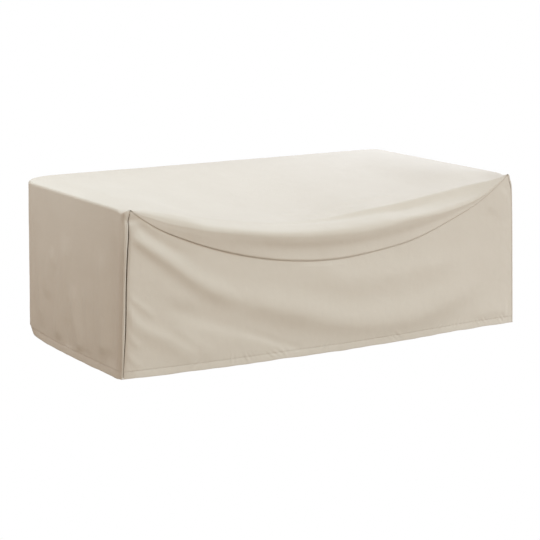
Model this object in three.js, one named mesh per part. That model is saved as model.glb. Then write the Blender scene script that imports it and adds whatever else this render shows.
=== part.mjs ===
// A fitted cover for a deep three-seat garden bench, in heavy canvas, as it hangs on the bench.
// Three cloths are sewn together: a body that runs from the left hem over the top to the right hem, a front
// panel whose top edge scoops down between two corner horns, and a plain back panel. The cover is hollow and
// open below.
//
// Millimetres, +Z up. Places are worked out from the left end (x), from the front (y) and from the hem (z).
// One group moves them: the origin is on the underside of the top, at the middle of the bench's back rail.
import * as THREE from "three";

const { lerp, smoothstep, clamp } = THREE.MathUtils;

// Sizes of the bench under the cover.
const LENGTH = 2005;
const DEPTH = 1105;
const HEIGHT = 700; // from the hem to the top
const BACK_RAIL = 100;
const ARM = 100;

// The cloth.
const CLOTH = 2;
const HEM = { height: 28, thick: 4, fade: 5 };
const SEAM_GAP = 0.8; // air between two cloths that lap at a seam
const UNDER_LAP = CLOTH + SEAM_GAP;
const CANVAS = { color: 0xd8d1c0, roughness: 0.9, metalness: 0 };

// How the form leaves a plain block.
const FLARE = { left: 32, leftBack: 8, right: 21, front: 8, back: 8 }; // spread at the hem
const FLARE_FALLS = { from: 500, to: 1000 }; // the left end's spread falls off between these depths
const RIGHT_BULGE = 0.7; // under 1, the right end leans out sooner below the top
const ROUND = { top: 22, front: 4, backLeft: 195, backRight: 75 };
const TOP_SLACK = 0.35; // how far the top hangs under a straight line from rail to roll
const RAIL_SOFT = 0.06; // how softly that slope starts at the back rail
const EAR = { rise: 5, reach: 16 }; // the pinched point where the seams meet, at each front top corner
const EAR_DIP = { fall: 8, behind: 38, reach: 24 }; // the end's top edge falls just behind it

// Front strips: the body wraps round each front corner and ends at an upright seam, which lies closed at the
// right. At the left it hangs open as a narrow slit, with a flap of the body cloth behind it.
const STRIPS = [
  { z: 0, left: 9, slit: 2.5, right: 7 },
  { z: 60, left: 10, slit: 3.5, right: 7 },
  { z: 200, left: 13.5, slit: 6.4, right: 7.5 },
  { z: 400, left: 12.5, slit: 7.4, right: 8 },
  { z: 520, left: 14.5, slit: 7.8, right: 8.5 },
  { z: 620, left: 18.5, slit: 7.4, right: 9.5 },
  { z: 660, left: 19, slit: 6, right: 14 },
  { z: 688, left: 24, slit: 3, right: 21 },
  { z: 700, left: 27, slit: 0.4, right: 27 },
];
const EAR_IN = 27; // the ears' distance from the ends
const LAP = 2.2; // how far the front panel reaches in behind the right strip
const FLAP = { back: 10, wide: 34, top: 645 };
const HORN_TOP = 6; // the front panel's horns stop this far under the top
const PANEL_HANG = 12; // the panel hangs straight, and leans over to the seam only near the top

// The front of the top, in sections along the bench. edge: where the top turns down; ridge: the crest in
// front of it; hollow: how far the slope between the two sinks in; lip: the roll's foremost line; tuck: how
// far the cloth draws in under it; seam: the scooped seam. Each is a drop below the top, and tuck and each
// Back say how far that line lies behind the seam.
const SECTION_LINES = ["edge", "edgeBack", "ridge", "ridgeBack", "hollow", "lip", "lipBack", "tuck", "seam"];
const SECTIONS = [
  { x: 27, line: [0, 0, 0, 0, 0, 0, 0, 0, 0] },
  { x: 71, line: [6, 18, 9, 10, 0, 14, -3, -2, 30] },
  { x: 144, line: [18, 38, 24, 20, 0, 36, -8, -6, 77] },
  { x: 293, line: [46, 60, 55, 34, 0, 76, -16, -10, 146] },
  { x: 524, line: [90, 70, 100, 40, 0, 126, -17, -8, 226] },
  { x: 743, line: [124, 76, 134, 37, 2, 156, -14, 1, 275] },
  { x: 1003, line: [132, 92, 150, 35, 5, 171, -12, 4, 300] },
  { x: 1263, line: [110, 90, 144, 34, 8, 168, -7, 4, 283] },
  { x: 1443, line: [92, 88, 132, 34, 9, 154, -6, 3, 253] },
  { x: 1650, line: [64, 84, 108, 32, 4, 132, -3, 1, 181] },
  { x: 1838, line: [34, 60, 66, 17, 1, 80, -1, 0, 95] },
  { x: 1915, line: [20, 34, 32, 8, 0, 38, 0, 0, 45] },
  { x: 1978, line: [0, 0, 0, 0, 0, 0, 0, 0, 0] },
];

// The front hem along the bench: how far it stands out, and how far it hangs below the ends' hems.
const FRONT_HEM = [
  { x: 0, out: 0, drop: 0 },
  { x: 300, out: 10, drop: 4 },
  { x: 700, out: 17, drop: 6 },
  { x: 1100, out: 26, drop: 5 },
  { x: 1450, out: 24, drop: 0 },
  { x: 1750, out: 14, drop: -4 },
  { x: 1900, out: 7, drop: -3 },
  { x: 2005, out: 0, drop: 0 },
];

// Main folds. Each runs from one point by a second to a third, and stands out (a trough: in) with a width at
// each end. Across is measured from the left end on the front and back, and from the front on the ends.
const FRONT_FOLDS = [
  { name: "left horn ridge", from: [24, 604], by: [300, 405], to: [620, 262], out: 13, wide: [22, 50] },
  { name: "long low ridge", from: [480, 300], by: [1120, 112], to: [1860, 222], out: 12, wide: [54, 72] },
  { name: "high ridge, right", from: [820, 372], by: [1280, 302], to: [1760, 352], out: 7, wide: [60, 56] },
  { name: "long trough, left", from: [200, 330], by: [590, 156], to: [950, 50], out: -6, wide: [55, 68] },
  { name: "short trough, left", from: [172, 310], by: [400, 200], to: [600, 125], out: -4, wide: [30, 30] },
  { name: "left seam ridge", from: [6, 322], by: [150, 172], to: [370, 26], out: 6, wide: [24, 38] },
  { name: "low ridge, left", from: [225, 204], by: [370, 92], to: [430, 44], out: 3, wide: [25, 31] },
  { name: "hem ridge, right", from: [1740, 62], by: [1840, 66], to: [1975, 60], out: 4, wide: [40, 40] },
];
const LEFT_FOLDS = [
  { name: "front ridge", from: [160, 60], by: [196, 300], to: [198, 540], out: 7, wide: [54, 54] },
  { name: "middle ridge", from: [388, 34], by: [430, 160], to: [470, 330], out: 6, wide: [32, 38] },
  { name: "back ridge", from: [628, 40], by: [582, 300], to: [556, 540], out: 7, wide: [36, 44] },
  { name: "rear ridge", from: [726, 200], by: [728, 320], to: [668, 450], out: 4.5, wide: [34, 36] },
  { name: "trough", from: [500, 30], by: [520, 100], to: [506, 170], out: -4, wide: [28, 28] },
];
const RIGHT_FOLDS = [
  { name: "front ridge", from: [170, 40], by: [155, 260], to: [190, 500], out: 6, wide: [46, 56] },
  { name: "middle ridge", from: [430, 30], by: [464, 210], to: [455, 430], out: 6, wide: [34, 44] },
  { name: "back ridge", from: [700, 36], by: [662, 260], to: [640, 520], out: 7, wide: [42, 48] },
  { name: "rear ridge", from: [840, 40], by: [842, 190], to: [800, 360], out: 4, wide: [30, 38] },
];
const BACK_FOLDS = [
  { name: "sag from the left", from: [180, 560], by: [600, 290], to: [1100, 190], out: 6, wide: [38, 64] },
  { name: "sag from the right", from: [1830, 560], by: [1430, 270], to: [1050, 150], out: 6, wide: [38, 64] },
];
// On the top, across the bench: x from the left end, and how far behind the edge.
const TOP_FOLDS = [
  { name: "left arm edge", from: [128, 200], by: [136, 560], to: [150, 960], out: 3, wide: [40, 50] },
];
const FOLD_STEPS = 14;
const FOLD_FADE = 0.2; // share of a fold's length over which each end dies away
const SEAM_CALM = 26; // folds die away this close to a seam or the hem

// Where the meshes have their lines.
const FRONT_COLUMNS = 34;
const LINES_CLOSER = 0.045; // how much they crowd towards the horns
const CORNER_LINES = [910, 942, 974, 1010, 1052]; // round the back left corner
const DEPTH_LINES = [0, 4, 45, 110, 200, 320, 460, 610, 760, ...CORNER_LINES, DEPTH - 22, DEPTH - 11, DEPTH];
const HEM_ROWS = [0, HEM.height, HEM.height + HEM.fade];
const TOP_ROWS = [HEIGHT - ROUND.top, HEIGHT - ROUND.top / 2, HEIGHT];
const END_ROWS = [...HEM_ROWS, 110, 200, 300, 400, 500, 590, 645, ...TOP_ROWS];
const APRON_ROWS = [0, 1, 2, 3, 4, 5, 6, 6.7, 7];
const LAP_ROW = APRON_ROWS.length - 2; // the front panel's lap reaches up to this one
const PANEL_ROWS = 13; // above the hem
const BACK_PANEL_SKIP = 3; // away from the round corners, the back panel keeps one of this many lines
const BACK_PANEL_ROWS = [...HEM_ROWS, 150, 260, 370, 480, 580, TOP_ROWS[0], TOP_ROWS[1]];

// A smooth curve through values at given places.
function curveOf(places, values) {
  const curve = new THREE.CubicInterpolant(places, values, 1);
  return (place) => curve.evaluate(clamp(place, places[0], places[places.length - 1]))[0];
}
const columnOf = (table, along, column) => {
  return curveOf(table.map((row) => row[along]), table.map((row) => row[column]));
};
const sectionPlaces = SECTIONS.map((row) => row.x);
const sectionCurves = SECTION_LINES.map((name, i) => {
  return [name, curveOf(sectionPlaces, SECTIONS.map((row) => row.line[i]))];
});
const sectionAt = (x) => Object.fromEntries(sectionCurves.map(([name, curve]) => [name, curve(x)]));
const seamDrop = (x) => sectionAt(x).seam;
const hemOut = columnOf(FRONT_HEM, "x", "out");
const hemDrop = columnOf(FRONT_HEM, "x", "drop");
const leftStrip = columnOf(STRIPS, "z", "left");
const rightStrip = columnOf(STRIPS, "z", "right");
const slit = columnOf(STRIPS, "z", "slit");

// A fold's crest as a chain of points, worked out once.
function crestOf(fold) {
  const [from, by, to] = [fold.from, fold.by, fold.to].map(([a, b]) => new THREE.Vector2(a, b));
  const pull = by.clone().multiplyScalar(2).sub(from.clone().add(to).multiplyScalar(0.5));
  return new THREE.QuadraticBezierCurve(from, pull, to).getPoints(FOLD_STEPS);
}
const withCrests = (folds) => folds.map((fold) => ({ ...fold, crest: crestOf(fold) }));
const frontFolds = withCrests(FRONT_FOLDS);
const leftFolds = withCrests(LEFT_FOLDS);
const rightFolds = withCrests(RIGHT_FOLDS);
const backFolds = withCrests(BACK_FOLDS);
const topFolds = withCrests(TOP_FOLDS);

// How far one fold moves the cloth at a point of its face.
function foldAt(fold, across, up) {
  let nearest = Infinity;
  let along = 0;
  for (let i = 0; i < FOLD_STEPS; i++) {
    const a = fold.crest[i];
    const b = fold.crest[i + 1];
    const run = [b.x - a.x, b.y - a.y];
    const share = ((across - a.x) * run[0] + (up - a.y) * run[1]) / (run[0] ** 2 + run[1] ** 2);
    const t = clamp(share, 0, 1);
    const distance = Math.hypot(across - a.x - t * run[0], up - a.y - t * run[1]);
    if (distance < nearest) {
      nearest = distance;
      along = (i + t) / FOLD_STEPS;
    }
  }
  const width = lerp(fold.wide[0], fold.wide[1], along);
  const fade = smoothstep(along, 0, FOLD_FADE) * smoothstep(1 - along, 0, FOLD_FADE);
  return fold.out * fade * Math.exp(-((nearest / width) ** 2));
}
const foldsAt = (folds, across, up) => folds.reduce((sum, fold) => sum + foldAt(fold, across, up), 0);

// Rounds a block's edge. a and b grow from 0, where the rounding starts, to its radius at the sharp edge.
function rounded(a, b) {
  if (a <= 0 || b <= 0) return [a, b];
  const shrink = Math.max(a, b) / Math.hypot(a, b);
  return [a * shrink, b * shrink];
}

// Rounds a point of the sharp block at the top's two ends and back, and at the four upright corners.
function roundedBlock(x, y, z) {
  const left = x < LENGTH / 2;
  const mirrored = (value) => (left ? value : LENGTH - value);
  let inside = mirrored(x);
  let [out, up] = rounded(ROUND.top - inside, z - (HEIGHT - ROUND.top));
  if (up > 0) z = HEIGHT - ROUND.top + up;
  inside = ROUND.top - out;

  let back;
  [back, up] = rounded(y - (DEPTH - ROUND.top), z - (HEIGHT - ROUND.top));
  if (up > 0) z = HEIGHT - ROUND.top + up;
  y = DEPTH - ROUND.top + back;

  const rear = left ? ROUND.backLeft : ROUND.backRight;
  [out, back] = rounded(rear - inside, y - (DEPTH - rear));
  inside = rear - out;
  y = DEPTH - rear + back;

  let fore;
  [out, fore] = rounded(ROUND.front - inside, ROUND.front - y);
  inside = ROUND.front - out;
  y = ROUND.front - fore;
  return new THREE.Vector3(mirrored(inside), y, z);
}

// Spreads the cover towards its hem, like a tent.
function flared(point) {
  const spread = 1 - point.z / HEIGHT;
  const across = point.x / LENGTH - 0.5;
  const deep = point.y / DEPTH - 0.5;
  const left = lerp(FLARE.left, FLARE.leftBack, smoothstep(point.y, FLARE_FALLS.from, FLARE_FALLS.to));
  point.x += 2 * across * (across < 0 ? left * spread : FLARE.right * Math.max(spread, 0) ** RIGHT_BULGE);
  point.y += 2 * deep * (deep < 0 ? FLARE.front : FLARE.back) * spread;
  return point;
}

const fromEnd = (x) => Math.min(x, LENGTH - x);

// Lifts the pinched ear at each front top corner, and lets the end's edge fall behind it.
function eared(point) {
  const fromEar = fromEnd(point.x) - EAR_IN;
  const below = HEIGHT - point.z;
  const near = Math.exp(-(fromEar ** 2 + point.y ** 2 + below ** 2) / EAR.reach ** 2);
  const edge = Math.exp(-(fromEnd(point.x) ** 2 + below ** 2) / EAR_DIP.reach ** 2);
  const behind = Math.exp(-(((point.y - EAR_DIP.behind) / EAR_DIP.reach) ** 2));
  point.z += EAR.rise * near - EAR_DIP.fall * edge * behind;
  return point;
}

// Where the front panel's left and right edges hang.
const panelSides = (z) => [leftStrip(z) + slit(z), LENGTH - rightStrip(z)];

// The top, which sags between the back rail and the arms, down to its front edge.
function topPoint(x, y) {
  const { edge, edgeBack } = sectionAt(x);
  const point = roundedBlock(x, edgeBack + (y * (DEPTH - edgeBack)) / DEPTH, HEIGHT);
  const share = clamp(y / (DEPTH - BACK_RAIL), 0, 1);
  const left = 1 - share;
  const slope = ((left * left) / (left + RAIL_SOFT)) * (1 + RAIL_SOFT) * (1 + TOP_SLACK * share);
  const overArm = lerp(1, smoothstep(fromEnd(x), 0.6 * ARM, 2.4 * ARM), smoothstep(y, 20, 260));
  point.z -= edge * slope * overArm;
  point.z += foldsAt(topFolds, x, y) * smoothstep(fromEnd(x), 0, 60);
  return flared(eared(point));
}

// The apron: the top's own cloth, turned down from its front edge over the roll to the scooped seam.
function apronPoint(x, at) {
  const row = sectionAt(x);
  const size = smoothstep(fromEnd(x), EAR_IN, 4 * EAR_IN);
  const under = row.seam - row.lip;
  const shoulder = lerp(row.ridge, row.lip, 0.45);
  const middle = lerp(row.edge, row.ridge, 0.5) + row.hollow;
  const middleBack = lerp(row.edgeBack, row.ridgeBack, 0.5) + 0.9 * row.hollow;
  // [drop, behind], down the section. The first and last only steer the curve.
  const section = [
    [row.edge - 5 * size, row.edgeBack + 28 * size],
    [row.edge, row.edgeBack],
    [middle, middleBack],
    [row.ridge, row.ridgeBack],
    [shoulder, lerp(row.lipBack, row.ridgeBack, 0.3)],
    [row.lip, row.lipBack],
    [row.lip + 0.25 * under, lerp(row.lipBack, row.tuck, 0.25)],
    [row.lip + 0.56 * under, row.tuck],
    [row.seam, 0],
    [row.seam + 0.25 * under, 0],
  ].map(([drop, behind]) => new THREE.Vector3(x, behind, HEIGHT - drop));
  const i = Math.min(Math.floor(at), section.length - 4);
  const along = (axis) => catmullRom(at - i, ...section.slice(i, i + 4).map((point) => point[axis]));
  return flared(eared(new THREE.Vector3(x, along("y"), along("z"))));
}

// Between b and c, on a smooth curve that also passes through a and d.
function catmullRom(t, a, b, c, d) {
  const bend = (2 * a - 5 * b + 4 * c - d) * t ** 2 + (3 * b - a - 3 * c + d) * t ** 3;
  return 0.5 * (2 * b + (c - a) * t + bend);
}

// The front face under the scooped seam. across runs from 0 at the left upright seam to 1 at the right one.
const seamX = (across) => lerp(EAR_IN, LENGTH - EAR_IN, across);
const seamHeight = (across) => HEIGHT - Math.max(seamDrop(seamX(across)), HORN_TOP);

function frontPoint(across, z) {
  const seamZ = seamHeight(across);
  const up = z / seamZ;
  const [low, high] = panelSides(z);
  const x = lerp(lerp(low, high, across), seamX(across), up ** PANEL_HANG);
  const bow = hemOut(across * LENGTH) * Math.sin((Math.PI / 2) * (1 - up));
  const sideways = Math.min(x - low, high - x);
  const calm = smoothstep(Math.min(sideways, seamZ - z), 0, SEAM_CALM) * smoothstep(z, 0, SEAM_CALM);
  const fold = foldsAt(frontFolds, x, z) * calm;
  return flared(eared(new THREE.Vector3(x, -bow - fold, z - hemDrop(across * LENGTH) * (1 - up))));
}

// An end, out to the left or the right.
function endPoint(side, y, z) {
  const point = roundedBlock(side < 0 ? 0 : LENGTH, y, z);
  const rear = side < 0 ? ROUND.backLeft : ROUND.backRight;
  const calm = smoothstep(Math.min(y, DEPTH - rear - y), 0, 80) * smoothstep(HEIGHT - z, 0, 150);
  point.x += side * foldsAt(side < 0 ? leftFolds : rightFolds, y, z) * calm;
  return flared(eared(point));
}

// The back, or a face that lies a little inside it.
function backPoint(x, z, behind) {
  const point = roundedBlock(x, DEPTH - behind, z);
  const calm = smoothstep(fromEnd(x), 200, 320) * smoothstep(HEIGHT - z, 20, 120) * smoothstep(z, 0, 60);
  point.y += foldsAt(backFolds, x, z) * calm;
  return flared(point);
}

// The hem is the cloth turned up inside, so it is twice as thick there, away from the seams.
const clothThickness = (z, fromSeam) => (z <= HEM.height && fromSeam > SEAM_CALM ? HEM.thick : CLOTH);

// The outer face of one cloth, gathered from patches that share the points along their edges.
class ClothFace {
  points = [];
  thicknesses = [];
  triangles = [];
  #known = new Map();

  vertex(point, thickness) {
    const key = [point.x, point.y, point.z].map((value) => Math.round(value * 100)).join();
    if (!this.#known.has(key)) {
      this.#known.set(key, this.points.length);
      this.points.push(point);
      this.thicknesses.push(thickness);
    }
    return this.#known.get(key);
  }

  triangle(a, b, c) {
    if (a !== b && b !== c && c !== a) this.triangles.push([a, b, c]);
  }

  // A grid of quads. place(u, v) gives a point and its thickness; the face looks along (u step) x (v step).
  patch(us, vs, place, turned = false) {
    const grid = us.map((u) => vs.map((v) => this.vertex(...place(u, v))));
    for (let i = 0; i + 1 < us.length; i++) {
      for (let j = 0; j + 1 < vs.length; j++) {
        const corners = [grid[i][j], grid[i + 1][j], grid[i + 1][j + 1], grid[i][j + 1]];
        if (turned) corners.reverse();
        this.triangle(corners[0], corners[1], corners[2]);
        this.triangle(corners[0], corners[2], corners[3]);
      }
    }
  }

  normals() {
    const normals = this.points.map(() => new THREE.Vector3());
    for (const corners of this.triangles) {
      const [a, b, c] = corners.map((index) => this.points[index]);
      const area = new THREE.Vector3().subVectors(b, a).cross(new THREE.Vector3().subVectors(c, a));
      corners.forEach((index) => normals[index].add(area));
    }
    return normals.map((normal) => normal.normalize());
  }

  // The open edges, each in the direction its own triangle takes it.
  openEdges() {
    const edges = new Map();
    for (const [a, b, c] of this.triangles) {
      for (const [from, to] of [[a, b], [b, c], [c, a]]) {
        if (!edges.delete(`${to},${from}`)) edges.set(`${from},${to}`, [from, to]);
      }
    }
    return [...edges.values()];
  }

  // The closed solid: outer face, inner face one thickness behind it, and a rim along the open edges.
  solid() {
    const normals = this.normals();
    const inner = this.points.map((p, i) => p.clone().addScaledVector(normals[i], -this.thicknesses[i]));
    const count = this.points.length;
    const index = this.triangles.flatMap(([a, b, c]) => [a, b, c, c + count, b + count, a + count]);
    for (const [from, to] of this.openEdges()) {
      index.push(from, from + count, to + count, from, to + count, to);
    }
    const geometry = new THREE.BufferGeometry();
    geometry.setFromPoints([...this.points, ...inner]);
    geometry.setIndex(index);
    geometry.computeVertexNormals();
    return geometry;
  }
}

function clothMesh(name, face) {
  const mesh = new THREE.Mesh(face.solid(), new THREE.MeshStandardMaterial(CANVAS));
  mesh.name = name;
  return mesh;
}

// Even steps from one value to another, both included.
const steps = (from, to, count) => Array.from({ length: count + 1 }, (_, i) => lerp(from, to, i / count));

// Lines across the front, from 0 to 1 and closer together at the horns.
const frontLines = steps(0, 1, FRONT_COLUMNS).map((t) => t - LINES_CLOSER * Math.sin(2 * Math.PI * t));

// Lines across the top, from one end to the other.
const cornerLines = [0, ROUND.top / 2, ROUND.top];
const topLines = [...cornerLines, ...frontLines.map(seamX), ...cornerLines.map((x) => LENGTH - x).reverse()];

function bodyCloth() {
  const face = new ClothFace();
  const hangs = topLines.filter((x) => fromEnd(x) >= ROUND.top);
  const back = [0, ROUND.top / 2, ROUND.top];
  const apronRows = [...APRON_ROWS].reverse();

  face.patch(topLines, DEPTH_LINES, (x, y) => [topPoint(x, y), CLOTH]);
  face.patch(frontLines.map(seamX), apronRows, (x, row) => [apronPoint(x, row), CLOTH]);
  face.patch(hangs, back, (x, down) => [backPoint(x, HEIGHT - down, 0), CLOTH]);
  for (const side of [-1, 1]) {
    const endX = (inside) => (side < 0 ? inside : LENGTH - inside);
    const turned = side > 0;
    const endThickness = (y, z) => clothThickness(z, Math.min(y, DEPTH - y));
    face.patch(END_ROWS, DEPTH_LINES, (z, y) => [endPoint(side, y, z), endThickness(y, z)], turned);
    const width = side < 0 ? leftStrip : rightStrip;
    const strip = (z, share) => [flared(eared(roundedBlock(endX(share * width(z)), 0, z))), CLOTH];
    const shares = [EAR_IN, ...[...cornerLines].reverse()].map((inside) => inside / EAR_IN);
    face.patch(END_ROWS, shares, strip, turned);
    const wrap = (z, inside) => [flared(roundedBlock(endX(inside), DEPTH, z)), CLOTH];
    face.patch(END_ROWS, back, wrap, turned);
  }
  const flap = (z, column) => {
    const point = flared(eared(roundedBlock(leftStrip(z), 0, z)));
    if (column > 0) point.y += FLAP.back;
    if (column > 1) point.x += FLAP.wide;
    return [point, CLOTH];
  };
  face.patch(END_ROWS.filter((z) => z <= FLAP.top), [0, 1, 2], flap, true);
  return clothMesh("body_cloth", face);
}

// The front panel's right edge and its scooped edge lap behind the body cloth.
function frontPanel() {
  const face = new ClothFace();
  const behind = (point) => point.setY(point.y + UNDER_LAP);
  const hemTop = HEM_ROWS[HEM_ROWS.length - 1];
  // A row's height: its own in the hem, and above that a share of what is left up to the seam.
  const rows = steps(0, HEM_ROWS.length - 1 + PANEL_ROWS, HEM_ROWS.length - 1 + PANEL_ROWS);
  const rowHeight = (across, row) => {
    const above = (row - HEM_ROWS.length + 1) / PANEL_ROWS;
    return above > 0 ? lerp(hemTop, seamHeight(across), above) : HEM_ROWS[row];
  };
  const place = (across, row) => {
    const z = rowHeight(across, row);
    return [behind(frontPoint(across, z)), clothThickness(z, Math.min(across, 1 - across) * LENGTH)];
  };
  face.patch(frontLines, rows, place);

  const lapped = frontLines.map(seamX).filter((x) => seamDrop(x) > 3 * HORN_TOP);
  const lapRows = [APRON_ROWS[LAP_ROW + 1], APRON_ROWS[LAP_ROW]];
  face.patch(lapped, lapRows, (x, row) => [behind(apronPoint(x, row)), CLOTH]);
  const sideLap = (row, out) => {
    const edge = frontPoint(1, rowHeight(1, row));
    edge.x += out;
    return [behind(edge), CLOTH];
  };
  face.patch(rows, [0, LAP], sideLap, true);
  return clothMesh("front_panel", face);
}

// The back panel lies behind the body cloth's wraps at the two back corners and at the top.
function backPanel() {
  const face = new ClothFace();
  const inCorner = (x) => fromEnd(x) < 1.5 * ROUND.backLeft;
  const xs = topLines.filter((x, i) => inCorner(x) || i % BACK_PANEL_SKIP === 0).slice(1, -1);
  const place = (z, x) => [backPoint(x, z, UNDER_LAP), clothThickness(z, fromEnd(x) - ROUND.top)];
  face.patch(BACK_PANEL_ROWS, xs, place);
  return clothMesh("back_panel", face);
}

const cover = new THREE.Group();
cover.add(bodyCloth(), frontPanel(), backPanel());
cover.position.set(-LENGTH / 2, -(DEPTH - BACK_RAIL / 2), -(HEIGHT - CLOTH));

const part = new THREE.Group();
part.add(cover);
export default part;
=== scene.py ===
"""A fitted canvas cover for a deep garden bench, in the shape in which it hangs on the bench (left out).

Tables are in millimetres, measured on the bench: x from the left end, y from the front, z up from the hem.
to_frame turns them into the frame's metres.
"""
import math

import bpy
import numpy as np
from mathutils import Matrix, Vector, noise


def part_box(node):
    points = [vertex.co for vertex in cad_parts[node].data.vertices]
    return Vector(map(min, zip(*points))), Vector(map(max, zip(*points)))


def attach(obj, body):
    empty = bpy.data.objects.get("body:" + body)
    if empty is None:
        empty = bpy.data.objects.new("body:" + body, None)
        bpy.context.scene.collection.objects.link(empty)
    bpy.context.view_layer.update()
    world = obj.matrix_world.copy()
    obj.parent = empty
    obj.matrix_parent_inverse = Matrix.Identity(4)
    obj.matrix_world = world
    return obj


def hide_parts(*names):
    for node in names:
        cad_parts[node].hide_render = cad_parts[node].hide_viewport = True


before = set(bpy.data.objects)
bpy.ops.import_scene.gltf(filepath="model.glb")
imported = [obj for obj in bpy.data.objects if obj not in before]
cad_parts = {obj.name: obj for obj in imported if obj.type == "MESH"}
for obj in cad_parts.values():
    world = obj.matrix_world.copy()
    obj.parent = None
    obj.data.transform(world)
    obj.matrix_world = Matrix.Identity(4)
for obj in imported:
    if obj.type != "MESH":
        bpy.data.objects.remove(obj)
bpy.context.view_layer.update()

MM = 0.001

# The bench's sizes.
LENGTH, DEPTH, HEIGHT = 2005.0, 1105.0, 700.0
BACK_RAIL, ARM = 100.0, 100.0

# The cloth, and how far the panels lie behind the body cloth at the seams.
CLOTH = 1.1
UNDER_LAP = 1.5
CRUMPLES = ((0.9, 120), (0.35, 34))  # the height and size of a slack cloth's unevenness

# The frame's origin on the bench: under the top, at the middle of the back rail.
CAD_CLOTH = 2.0
ORIGIN = np.array([LENGTH / 2, DEPTH - BACK_RAIL / 2, HEIGHT - CAD_CLOTH])

# How the form leaves a plain block. It spreads at the hem, most at the left end's front.
FLARE = {"left": 32.0, "leftBack": 8.0, "right": 21.0, "front": 8.0, "back": 8.0}
FLARE_FALLS = (500.0, 1000.0)  # where along the left end its spread falls off towards the back
RIGHT_BULGE = 0.7  # under 1, the right end leans out sooner below the top
# At the back left corner the hem is tucked in: how far, the share of it that goes forwards, and where.
TUCK = {"in": 17.0, "forwards": 0.4, "height": 38.0, "from": (820, 1000), "to": (-360, -120)}
ROUND = {
    "topLeft": 11.0, "topRight": 18.0, "frontLeft": 14.0, "frontRight": 9.0,
    "backLeft": 195.0, "backRight": 75.0,
}
ROUND_CHANGES = (200, 900)  # where along the top its left rounding becomes its right one

# The top hangs under a straight slope from the rail, which it leaves softly. Over the arms it stays up.
TOP_SLACK, RAIL_SOFT = 0.35, 0.06
ARM_FALLS = (0.3 * ARM, 4.0 * ARM)  # from the ends, where the top leaves the arms' level
ARM_STARTS = (20, 260)  # behind the front edge, where it starts to lie on them

# The ears: the pinched points where the seams meet, at each front top corner.
EAR_IN = 27.0  # their distance from the ends
EAR_RISE, EAR_REACH = 5.0, 16.0
EAR_CREASE, CREASE_BELOW, CREASE_WIDE, CREASE_REACH = 8.0, 40.0, 15.0, 42.0  # under the left one it caves in
EAR_DRAW, DRAW_HEIGHTS, DRAW_REACH = 0.5, (645, 698), 60.0  # the right end is drawn in to its ear
DIP_FALL, DIP_BEHIND, DIP_REACH = 8.0, 38.0, 24.0  # each end's top edge falls behind its ear
HORN_TOP = 6.0  # the front panel's horns stop this far under the top

# The strips that wrap round the front corners: (height, width). The left seam hangs open as a slit beside its
# strip, backed by a flap: how far the flap's columns lie to the right of the strip's edge, and behind it.
LEFT_STRIP = (
    (0, 9), (60, 10), (200, 13.5), (400, 12.5), (520, 14.5), (620, 18.5), (660, 19), (690, 24), (700, 27),
)
RIGHT_STRIP = ((0, 7), (400, 8), (600, 9), (650, 12), (685, 21), (700, 27))
SLIT = (
    (0, 2.5), (57, 3.5), (200, 6.4), (376, 7.3), (560, 7.8), (605, 7), (638, 3), (660, 2.2), (688, 1.4),
    (700, 0.4),
)
FLAP = ((0, 0), (0.4, 1.2), (-0.4, 2.6), (-1, 6), (-1, 28), (6, 31), (34, 31))
FLAP_TOP, FLAP_CLOSES = 4.0, 60.0  # it ends this far under the top, and closes on the strip over this height
STRIP_LAP = 5.0  # how far the front panel reaches in behind the right strip
# How far the strips' edges stand out, by height, and how that grows across a strip. The right lies closed.
STRIP_LIFT = ((0, 0.3), (150, 1.0), (400, 1.5), (600, 2.0), (660, 1.2), (700, 0.0))
LIFT_CURVE, TIGHT_RIGHT = 1.5, -0.12
# The groove in the front panel beside the slit: (height, depth). It ends under the scooped seam.
GROOVE = ((0, 0.5), (150, 1.5), (400, 3.0), (600, 4.0), (680, 2.0), (700, 0.5))
GROOVE_WIDE, GROOVE_ENDS = 7.0, 30.0
# The stitched line behind each front corner draws the end in, fully from this far off the corner and the top,
# and less near the hem.
CORNER_PINCH, PINCH_AT, PINCH_WIDE = 8.0, 17.0, 13.0
PINCH_STARTS, PINCH_TOP = 12.0, 60.0
HEM_PINCH, PINCH_FADES = 0.45, (10, 120)

# The front hem along the bench: how far it stands out, and how far it hangs below the ends' hems.
FRONT_HEM = (
    (0, 0, 0), (300, 10, 4), (700, 17, 6), (1100, 26, 5), (1450, 24, 0), (1750, 14, -4), (1900, 7, -3),
    (2005, 0, 0),
)
PANEL_HANG = 12  # the panel's columns hang straight, and lean over to the seam's places only near the top
# The hem's stitched line, its double cloth and how far it stands out below the line, from a little above it.
HEM_HEIGHT, HEM_THICK, HEM_FLARE, HEM_ABOVE = 30.0, 2.6, 4.0, 12.0
FURROW, FURROW_HALF = 0.5, 3.0  # the line's furrow
HEM_WAVER, WAVER_HIGH = 0.9, 22.0  # how far the lower edge leaves its line, and how far up that shows
# Where the hem puckers, along it from the left front corner (the left end is below zero): middle, half width.
PUCKERS = (
    (320, 34), (495, 20), (570, 16), (720, 44), (960, 26), (1340, 18), (1575, 28), (1690, 34), (1825, 28),
    (1955, 18), (-180, 30), (-470, 40), (-800, 36), (2300, 40), (2700, 50),
)
PUCKER_OUT, PUCKER_PITCH, PUCKER_LEAN, PUCKER_LEAST = 2.0, 27.0, 1.1, 0.12
PUCKER_AT, PUCKER_HALF = 0.9 * HEM_HEIGHT, 17.0  # heights
# The relief of the hem dies away between these distances from the corners. The front hem is double from the
# last one on.
END_HEM_CALM, FRONT_HEM_CALM, BACK_HEM_CALM, DOUBLE_FROM = (0, 30), (15, 45), (30, 60), 30.0

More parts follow.
